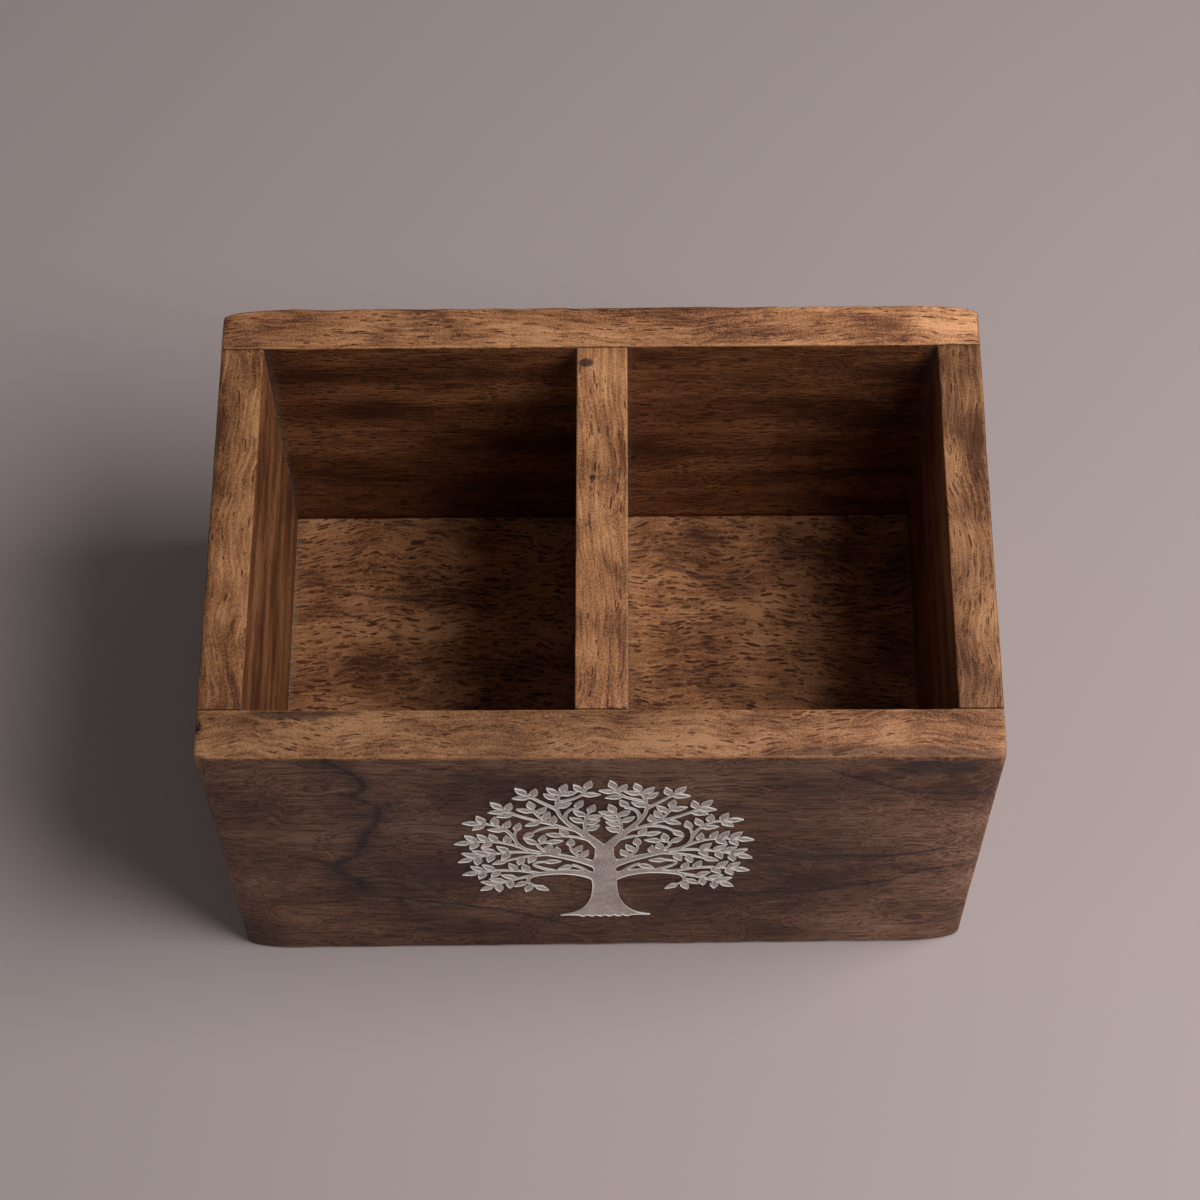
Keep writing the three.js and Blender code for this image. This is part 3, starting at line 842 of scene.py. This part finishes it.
class Wood(Shade):
    """Sanded hardwood with wavering grain and dark pores, in the object's own millimetres."""

    def __init__(self, name, along_x, seed, waver, banded):
        super().__init__(name)
        self.place = self.place_mm()
        self.rightward, self.backward, self.height = self.split(self.place)
        self.shifted = self.add("ShaderNodeVectorMath", {0: self.place, 1: seed}, operation="ADD")
        self.upright = self.step(self.facing()[2], *UPRIGHT_FACING)
        self.lay_grain(along_x, waver, banded)
        self.fibre = self.streaks(*FIBRE)
        self.speck = self.noise(self.shifted, *SPECK)

    def lay_grain(self, along_x, waver, banded):
        """Set the ways along, beside and down the grain, which strays by the waver."""
        x, y, z = self.split(self.shifted)
        self.along, beside = (x, y) if along_x else (y, x)
        wander = self.split(self.noise(self.shifted, *WANDER, output=1))
        self.side = self.plus(beside, self.times(self.centred(wander[0]), waver))
        down = self.plus(z, self.times(self.centred(wander[1]), DEEP_WAVER * waver))
        deep = self.times(down, FLAT_GRAIN)
        self.pore_deep = self.times(deep, PORE_DEPTH)
        self.deep = self.plus(deep, self.times(self.plus(self.height, -RIM_HEIGHT), banded))

    def centred(self, value):
        """A noise moved to swing about 0."""
        return self.plus(value, -0.5)

    def drawn_out(self, along_scale, across_scale, deep):
        """The place, scaled along and across the grain."""
        beside = self.times(self.side, across_scale)
        return self.vector(self.times(self.along, along_scale), beside, self.times(deep, across_scale))

    def streaks(self, along_scale, across_scale, detail, roughness):
        """A noise drawn out along the grain."""
        return self.noise(self.drawn_out(along_scale, across_scale, self.deep), 1.0, detail, roughness)

    def figure(self, tint, mottled):
        """The colour of the wood before its pores."""
        blotch = self.centred(self.noise(self.shifted, *BLOTCH))
        mottle = self.times(self.centred(self.streaks(*MOTTLE)), self.upright)
        tone = self.total(
            (self.streaks(*FIGURE), FIGURE_SHARE),
            (self.fibre, FIBRE_SHARE),
            (self.speck, SPECK_SHARE),
            (blotch, FLAT_BLOTCH_SHARE),
            (self.times(blotch, self.upright), UPRIGHT_BLOTCH_SHARE - FLAT_BLOTCH_SHARE),
            (mottle, mottled),
        )
        tone = self.plus(tone, TONE_SHIFT)
        tints = [(at, tuple(part * share for part, share in zip(colour, tint))) for at, colour in TONES]
        return self.ramp(tone, tints)

    def pores(self, across, along, density):
        """Short dark dashes along the grain: how much of a dash covers each place."""
        cell = self.tree.nodes.new("ShaderNodeTexVoronoi")
        self.put(cell.inputs["Vector"], self.drawn_out(along, across, self.pore_deep))
        self.put(cell.inputs["Scale"], 1.0)
        chance = self.split(cell.outputs["Color"])
        reach = self.plus(self.times(chance[0], PORE_SIZE / 2), PORE_SIZE / 2)
        dash = self.step(self.math("DIVIDE", cell.outputs["Distance"], reach), *PORE_EDGES)
        present = self.step(self.math("SUBTRACT", density, chance[1]), -PORE_CHANCE, PORE_CHANCE)
        cover = self.plus(self.times(chance[2], PORE_VARIETY), PORE_COVER)
        return self.times(dash, self.times(present, cover))

    def darkness(self, busy, busy_walls, coarse, lined):
        """How much the pores and the fine dark lines cover each place."""
        lines = self.step(self.streaks(*LINES), *LINE_EDGES)
        lines = self.times(lines, self.plus(self.times(self.upright, lined), LINES_ON_TOP))
        patch = self.step(self.noise(self.shifted, *PORE_PATCH), *PATCH_EDGES)
        density = self.plus(self.total((patch, PATCH_PORES), (self.upright, busy_walls - busy)), busy)
        dashes = [
            self.pores(sort["across"] / coarse, sort["along"], self.times(density, sort["common"]))
            for sort in PORE_SORTS
        ]
        return self.strongest([*dashes, lines])

    def stained_and_shaded(self, colour, stain_and_shade, painted_light_right, rim_painted_light):
        """The colour, paler to the right of the rim by painted light, upright faces darker by tint and
        painted shade.
        """
        # Painted light: the rims turn paler towards the right, where the light falls
        if rim_painted_light:
            flat = self.math("SUBTRACT", 1.0, self.upright)
            paler = self.times(self.step(self.rightward, *RIM_PAINTED_LIGHT_TURNS), flat)
            colour = self.blend(paler, colour, rim_painted_light, "MULTIPLY")
        # Painted light and reflection: the front's upright face turns paler and bluer towards the right
        if painted_light_right:
            stain_and_shade = self.blend(self.step(self.rightward, *PAINTED_LIGHT_TURNS), stain_and_shade, painted_light_right)
        # Upright faces are multiplied darker than the tops: partly their own colour, partly painted shade
        return self.blend(self.upright, colour, stain_and_shade, "MULTIPLY")

    def layer(self, colour, look, closeness, scatter, within=1.0):
        """The colour under one layer of age or of painted highlight."""
        scattered = self.plus(closeness, self.times(scatter, look["scatter"]))
        cover = self.times(self.step(scattered, *look["edges"]), within)
        return self.blend(self.times(cover, look["cover"]), colour, look["colour"])

    def aged_and_highlighted(self, colour):
        """The colour with worn edges that carry a painted highlight, grime in the joints, and a film with
        flecks in the nooks.
        """
        scuff = self.centred(self.noise(self.shifted, *SCUFF))
        fleck = self.centred(self.noise(self.shifted, *FLECK))
        nook = self.attribute("nook")
        near_rim = self.step(self.height, *WEAR_AND_HIGHLIGHT_HEIGHTS)
        # Lighter top arrises: wear, and a painted highlight where the arris catches the light
        colour = self.layer(colour, WEAR_AND_HIGHLIGHT, self.attribute("edge"), scuff, near_rim)
        colour = self.layer(colour, GRIME, self.attribute("joint"), scuff)
        colour = self.layer(colour, FILM, nook, scuff)
        return self.layer(colour, FLECKS, nook, fleck)

    def surface(self, dark):
        """Set how the wood shines and the fine relief of its fibres and pores."""
        self.finish("Specular IOR Level", WOOD_SPECULAR)
        rough = self.total((self.fibre, FIBRE_ROUGHNESS), (dark, DARK_ROUGHNESS))
        self.finish("Roughness", self.plus(rough, WOOD_ROUGHNESS))
        self.bump(self.total((self.fibre, FIBRE_RELIEF), (self.speck, SPECK_RELIEF), (dark, DARK_RELIEF)))


# Dark marks in the wood

MARK_COLOUR = (0.018, 0.009, 0.009, 1.0)
MARK_COVER = 0.85

# Marks stray by an amount over a length
WOBBLE_NOISE = (3.0, 0.6)
FRONT_WOBBLE = {"length": 5.0, "amount": 3.0}
FLOOR_WOBBLE = {"length": 6.0, "amount": 2.4}
DIVIDER_WOBBLE = {"length": 2.0, "amount": 1.0}

# A vein's breadth varies, and it fades from this far outside its ends to this far within them
VEIN_NOISE = (0.3, 2.0)
VEIN_BREADTH = 0.3
VEIN_EDGES = (1.2, 0.1)
VEIN_FADE = (2.0, 4.0)
SPOT_EDGES = (1.1, 0.25)

# Veins as points of (height, across) down the crack, and of (across, height) along the others
CRACK = (
    (112, -63), (105, -60), (99.6, -55.7), (92.8, -53.3), (88.6, -55.7), (81, -50.8), (68, -54.5),
    (56, -57.2), (48, -62.8), (43, -58.9), (33.6, -56.9),
)
CRACK_CORE = {"half_width": 2.8}
CRACK_HALO = {"half_width": 6.5, "strength": 0.65}
CRACK_TAIL = ((-57, 33.6), (-42, 28.7), (-26, 23.7), (-7, 12.3))
CRACK_TAIL_LINE = {"half_width": 1.2, "strength": 0.9}
FRONT_VEINS = (
    ((49.7, 102.8), (54.4, 99.1), (59.7, 96), (66.3, 91.8), (75, 88.6), (88.4, 88.5)),
    ((36.3, 56.8), (50.8, 53.3), (60, 53.2), (68.8, 54.3), (82, 60)),
    ((23.6, 33.9), (45, 32), (58.6, 36), (67.8, 39), (76.6, 45), (87.7, 48)),
)
FRONT_VEIN_LINE = {"half_width": 1.5, "strength": 0.8}

# The floor's veins, as points of (across, back)
FLOOR_VEINS = (
    ((-77.4, 29.3), (-66, 26.7), (-51.6, 24.3), (-37.5, 23.4), (-27.9, 19.9)),
    ((-71.4, 21.7), (-59.8, 17.9), (-49.4, 12.4), (-43.7, 8.1)),
    ((9.6, 35.6), (25, 31.1), (40.3, 26.7)),
)
FLOOR_VEIN_LINE = {"half_width": 0.8, "strength": 0.55}

# Spots on the front, on the front's rim and on the divider's top, and painted shade in the gaps at the
# divider's front joint
FRONT_SPOTS = (
    {"centre": (74.5, 102), "radii": (13, 4.2), "strength": 0.8},
    {"centre": (-42, 68), "radii": (24, 40), "strength": 0.3},
)
RIM_SPOTS = (
    {"centre": (-67, -48.6), "radii": (14, 2.0), "strength": 0.75},
    {"centre": (64, -59.4), "radii": (32, 3.0), "strength": 0.6},
    {"centre": (-89.4, -51.8), "radii": (0.9, 1.7)},
)
DIVIDER_KNOTS = (
    {"centre": (-3.4, 43.7), "radii": (2.3, 1.4)},
    {"centre": (-1.7, 12.3), "radii": (1.0, 0.8)},
)
# Painted shade standing in for small gaps at the divider's front joint
DIVIDER_GAP_SHADOWS = (
    {"centre": (2.4, -47.5), "radii": (1.0, 0.5)},
    {"centre": (5.6, -47.5), "radii": (0.9, 0.5)},
)


def vein(shade, run, off, points, half_width, strength=1.0):
    """A dark line through points of (run, off), fading out at its ends."""
    places = [place for place, middle in points]
    outside, within = VEIN_FADE
    away = shade.math("ABSOLUTE", shade.math("SUBTRACT", off, shade.curve(run, points)))
    breadth = shade.plus(shade.noise(shade.vector(run, off, 0.0), *VEIN_NOISE), VEIN_BREADTH)
    edges = [edge * half_width for edge in VEIN_EDGES]
    line = shade.step(shade.math("DIVIDE", away, breadth), *edges)
    begins = shade.step(run, min(places) - outside, min(places) + within)
    ends = shade.step(run, max(places) + outside, max(places) - within)
    return shade.times(shade.times(line, shade.times(begins, ends)), strength)


def spot(shade, run, off, centre, radii, strength=1.0):
    """A dark patch, at full strength in its middle and 0 past its radii."""
    first = shade.times(shade.plus(run, -centre[0]), 1 / radii[0])
    second = shade.times(shade.plus(off, -centre[1]), 1 / radii[1])
    away = shade.plus(shade.times(first, first), shade.times(second, second))
    return shade.times(shade.step(away, *SPOT_EDGES), strength)


def wobbled(shade, length, amount):
    """The place as x, y and z, moved to and fro at random over a length."""
    sway = shade.noise(shade.place, 1 / length, *WOBBLE_NOISE, output=1)
    sway = shade.add("ShaderNodeVectorMath", {0: sway, 1: (0.5, 0.5, 0.5)}, operation="SUBTRACT")
    sway = shade.add("ShaderNodeVectorMath", {0: sway, "Scale": amount}, operation="SCALE")
    return shade.split(shade.add("ShaderNodeVectorMath", {0: shade.place, 1: sway}, operation="ADD"))


def front_marks(shade):
    """The crack beside the tree, the veins right of it, and the stains on the rim."""
    x, y, z = wobbled(shade, **FRONT_WOBBLE)
    faces = shade.facing()
    on_front = [vein(shade, x, z, points, **FRONT_VEIN_LINE) for points in FRONT_VEINS]
    on_front += [vein(shade, z, x, CRACK, **line) for line in (CRACK_CORE, CRACK_HALO)]
    on_front += [vein(shade, x, z, CRACK_TAIL, **CRACK_TAIL_LINE)]
    on_front += [spot(shade, x, z, **mark) for mark in FRONT_SPOTS]
    on_rim = [spot(shade, x, y, **mark) for mark in RIM_SPOTS]
    front = shade.times(shade.strongest(on_front), shade.step(faces[1], *FRONT_FACING))
    rim = shade.times(shade.strongest(on_rim), shade.step(faces[2], *TOP_FACING))
    return shade.math("MAXIMUM", front, rim)


def floor_marks(shade):
    """The dark veins across the floor."""
    x, y, z = wobbled(shade, **FLOOR_WOBBLE)
    return shade.strongest([vein(shade, x, y, points, **FLOOR_VEIN_LINE) for points in FLOOR_VEINS])


def divider_marks(shade):
    """The knots on the divider's top, and painted shade in the small gaps at its front joint."""
    x, y, z = wobbled(shade, **DIVIDER_WOBBLE)
    knots = [spot(shade, x, y, **mark) for mark in DIVIDER_KNOTS]
    gap_shadows = [spot(shade, shade.rightward, shade.backward, **mark) for mark in DIVIDER_GAP_SHADOWS]
    return shade.strongest(knots + gap_shadows)


def wood(
    name, seed, tint, busy, busy_walls, coarse, waver, lined, mottled, along_x=True, banded=0.0,
    stain_and_shade=PLAIN_STAIN_AND_SHADE, painted_light_right=None, rim_painted_light=None, marks=None,
):
    """The material of one board."""
    shade = Wood(name, along_x, seed, waver, banded)
    dark = shade.darkness(busy, busy_walls, coarse, lined)
    colour = shade.blend(dark, shade.figure(tint, mottled), DARK_COLOUR)
    if marks:
        colour = shade.blend(shade.times(marks(shade), MARK_COVER), colour, MARK_COLOUR)
    colour = shade.stained_and_shaded(colour, stain_and_shade, painted_light_right, rim_painted_light)
    shade.finish("Base Color", shade.aged_and_highlighted(colour))
    shade.surface(dark)
    return shade.material


# Metal

# Noises of the metal: scale, detail and roughness, and the hatching's own scales
CAST_GRAIN = (3.2, 3.0, 0.7)
CLOUDING = (0.15, 3.0, 0.6)
HATCHING = (1.0, 2.0, 0.5)
HATCH_ACROSS = 3.0
HATCH_DOWN = 0.5
CLOUD_SHARE = 0.25
GRAIN_SHARE = 0.5
HATCH_SHARE = 0.25
METAL_TONES = ((0.40, (0.42, 0.38, 0.35)), (0.50, (0.68, 0.63, 0.59)), (0.60, (0.92, 0.87, 0.82)))
# A painted highlight along the dished edges, less metallic so that the lamps light it
METAL_PAINTED_HIGHLIGHT = {"colour": (1.0, 0.91, 0.84, 1.0), "cover": 0.9, "edges": (0.15, 0.7), "dulling": -0.7}
# Tarnish with painted shade down the plate's sides
METAL_SIDE_TARNISH_AND_SHADE = {"colour": (0.12, 0.10, 0.09, 1.0), "cover": 0.9, "edges": (1.0, 0.4)}
METAL_ROUGHNESS = 0.36
GRAIN_ROUGHNESS = 0.25
GRAIN_RELIEF = 0.10
HATCH_RELIEF = 0.06


def white_metal():
    """Satin white metal with a fine cast grain, a painted highlight along its edges, and sides darkened by
    tarnish and painted shade.
    """
    shade = Shade("white_metal")
    place = shade.place_mm()
    x, y, z = shade.split(place)
    grain = shade.noise(place, *CAST_GRAIN)
    hatch = shade.noise(shade.vector(shade.times(x, HATCH_ACROSS), y, shade.times(z, HATCH_DOWN)), *HATCHING)
    cloud = shade.noise(place, *CLOUDING)
    tarnish = shade.total((cloud, CLOUD_SHARE), (grain, GRAIN_SHARE), (hatch, HATCH_SHARE))
    colour = shade.ramp(tarnish, METAL_TONES)
    # Painted highlight along the dished edges
    bright = shade.step(shade.attribute("painted_highlight"), *METAL_PAINTED_HIGHLIGHT["edges"])
    colour = shade.blend(shade.times(bright, METAL_PAINTED_HIGHLIGHT["cover"]), colour, METAL_PAINTED_HIGHLIGHT["colour"])
    # Tarnish and painted shade darken the plate's sides
    low_down = shade.step(shade.attribute("raised"), *METAL_SIDE_TARNISH_AND_SHADE["edges"])
    colour = shade.blend(shade.times(low_down, METAL_SIDE_TARNISH_AND_SHADE["cover"]), colour, METAL_SIDE_TARNISH_AND_SHADE["colour"])
    shade.finish("Base Color", colour)
    shade.finish("Metallic", shade.plus(shade.times(bright, METAL_PAINTED_HIGHLIGHT["dulling"]), 1.0))
    shade.finish("Roughness", shade.plus(shade.times(grain, GRAIN_ROUGHNESS), METAL_ROUGHNESS))
    shade.bump(shade.total((grain, GRAIN_RELIEF), (hatch, HATCH_RELIEF)))
    return shade.material


# Dowels

DOWEL_STREAKS = (2.0, 0.08, 3.0)  # scale across, scale along and detail
DOWEL_TONES = ((0.3, (0.36, 0.22, 0.12)), (0.7, (0.62, 0.44, 0.28)))
DOWEL_ROUGHNESS = 0.7
DOWEL_RELIEF = 0.05


def dowel_wood():
    """Pale, close-grained wood for the dowels inside the joints."""
    shade = Shade("dowel_wood")
    x, y, z = shade.split(shade.place_mm())
    across, along, detail = DOWEL_STREAKS
    stretched = shade.vector(shade.times(x, across), shade.times(y, along), shade.times(z, across))
    streak = shade.noise(stretched, 1.0, detail)
    shade.finish("Base Color", shade.ramp(streak, DOWEL_TONES))
    shade.finish("Roughness", DOWEL_ROUGHNESS)
    shade.bump(shade.times(streak, DOWEL_RELIEF))
    return shade.material


# The box

# Each board's wood. Tint multiplies its tones. A second colour multiplies its upright faces: their own
# darker colour with painted shade, and on the front a bluish painted reflection as well. The right-hand
# settings are painted light that makes the front's upright face and the rims paler towards the right. Busy
# and busy_walls are how many pores its top and its upright faces have, and coarse how thick they are. Waver
# is how far its grain strays. Lined, mottled and banded are how streaky, how patchy and how finely figured
# its upright faces are.
WALL_BANDING = 0.6
WOODS = {
    "front_board": {
        "seed": (13, 7, 31), "tint": (0.65, 0.64, 0.67),
        # The front's upright colour: darkened by painted shade, bluish from a painted reflection, paler and
        # bluer to the right from painted light
        "stain_and_shade": (0.82, 0.87, 1.16, 1.0), "painted_light_right": (1.36, 1.50, 1.98, 1.0),
        "rim_painted_light": (1.36, 1.34, 1.42, 1.0), "marks": front_marks,
        "busy": 0.14, "busy_walls": -0.3, "coarse": 1.3, "waver": 24.0, "lined": 0.75, "mottled": 0.2,
    },
    "back_board": {
        "seed": (207, 55, 90), "tint": (1.00, 0.98, 1.02),
        # Painted light makes the back's rims paler towards the right
        "rim_painted_light": (1.38, 1.40, 1.46, 1.0), "banded": WALL_BANDING,
        "busy": 0.14, "busy_walls": 0.4, "coarse": 1.4, "waver": 14.0, "lined": 0.4, "mottled": 0.25,
    },
    "left_side_board": {
        "along_x": False, "seed": (400, 21, 63), "tint": (0.78, 0.75, 0.73),
        "stain_and_shade": (0.78, 0.68, 0.63, 1.0), "banded": WALL_BANDING,
        "busy": 0.08, "busy_walls": 0.1, "coarse": 1.2, "waver": 16.0, "lined": 0.4, "mottled": 0.3,
    },
    "right_side_board": {
        "along_x": False, "seed": (611, 300, 17), "tint": (0.78, 0.77, 0.79), "banded": WALL_BANDING,
        "busy": 0.16, "busy_walls": 0.1, "coarse": 1.4, "waver": 20.0, "lined": 0.4, "mottled": 0.3,
    },
    "divider": {
        "along_x": False, "seed": (823, 117, 140), "tint": (1.08, 1.06, 1.08),
        "banded": WALL_BANDING, "marks": divider_marks,
        "busy": 0.06, "busy_walls": 0.1, "coarse": 1.3, "waver": 12.0, "lined": 0.3, "mottled": 0.3,
    },
    "floor_panel": {
        "seed": (1009, 181, 44), "tint": (1.00, 0.94, 0.93), "marks": floor_marks,
        "busy": 0.55, "busy_walls": 0.3, "coarse": 2.0, "waver": 24.0, "lined": 0.2, "mottled": 0.2,
    },
}

for board_name, settings in WOODS.items():
    board_wood = wood(board_name + "_wood", **settings)
    if board_name == "floor_panel":
        floor_panel(board_wood)
    else:
        board(board_name, board_wood)
metal_tree(white_metal())

pale_wood = dowel_wood()
for node_name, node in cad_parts.items():
    if "dowel" in node_name:
        node.data.materials.clear()
        node.data.materials.append(pale_wood)


# Floor, light and camera

def table_top():
    half = FLOOR_SIZE / 2 / MM
    corners = [(-half, -half, 0), (half, -half, 0), (half, half, 0), (-half, half, 0)]
    floor = mesh_object("table_top", corners, [(0, 1, 2, 3)])
    shade = Shade("table_paint")
    shade.finish("Base Color", FLOOR_COLOUR)
    shade.finish("Roughness", FLOOR_ROUGHNESS)
    floor.data.materials.append(shade.material)


def lamp(name, place, size, power):
    """A round soft light that points at the box."""
    disk = bpy.data.lights.new(name, "AREA")
    disk.shape = "DISK"
    disk.size = size
    disk.energy = power
    light = bpy.data.objects.new(name, disk)
    light.location = place
    light.rotation_euler = (Vector(LIGHT_AIM) - Vector(place)).to_track_quat("-Z", "Y").to_euler()
    bpy.context.scene.collection.objects.link(light)


def sky():
    world = bpy.data.worlds.new("sky")
    world.use_nodes = True
    background = world.node_tree.nodes["Background"]
    background.inputs["Color"].default_value = (1.0, 1.0, 1.0, 1.0)
    background.inputs["Strength"].default_value = SKY_LEVEL
    bpy.context.scene.world = world


def camera():
    turn = Matrix.Rotation(CAMERA_YAW, 3, "Z")
    level_right = Vector((1, 0, 0))
    level_up = Vector((0, math.sin(CAMERA_PITCH), math.cos(CAMERA_PITCH)))
    right = turn @ (level_right * math.cos(CAMERA_ROLL) - level_up * math.sin(CAMERA_ROLL))
    up = turn @ (level_right * math.sin(CAMERA_ROLL) + level_up * math.cos(CAMERA_ROLL))
    axes = Matrix((right, up, right.cross(up))).transposed()
    lens = bpy.data.cameras.new("camera")
    lens.lens = CAMERA_LENS
    lens.sensor_width = SENSOR_WIDTH
    view = bpy.data.objects.new("camera", lens)
    view.matrix_world = Matrix.Translation(Vector(CAMERA_PLACE) * MM) @ axes.to_4x4()
    bpy.context.scene.collection.objects.link(view)
    bpy.context.scene.camera = view


table_top()
lamp("key", KEY_PLACE, KEY_SIZE, KEY_POWER)
lamp("fill", FILL_PLACE, FILL_SIZE, FILL_POWER)
sky()
camera()
bpy.context.scene.view_settings.view_transform = "Standard"
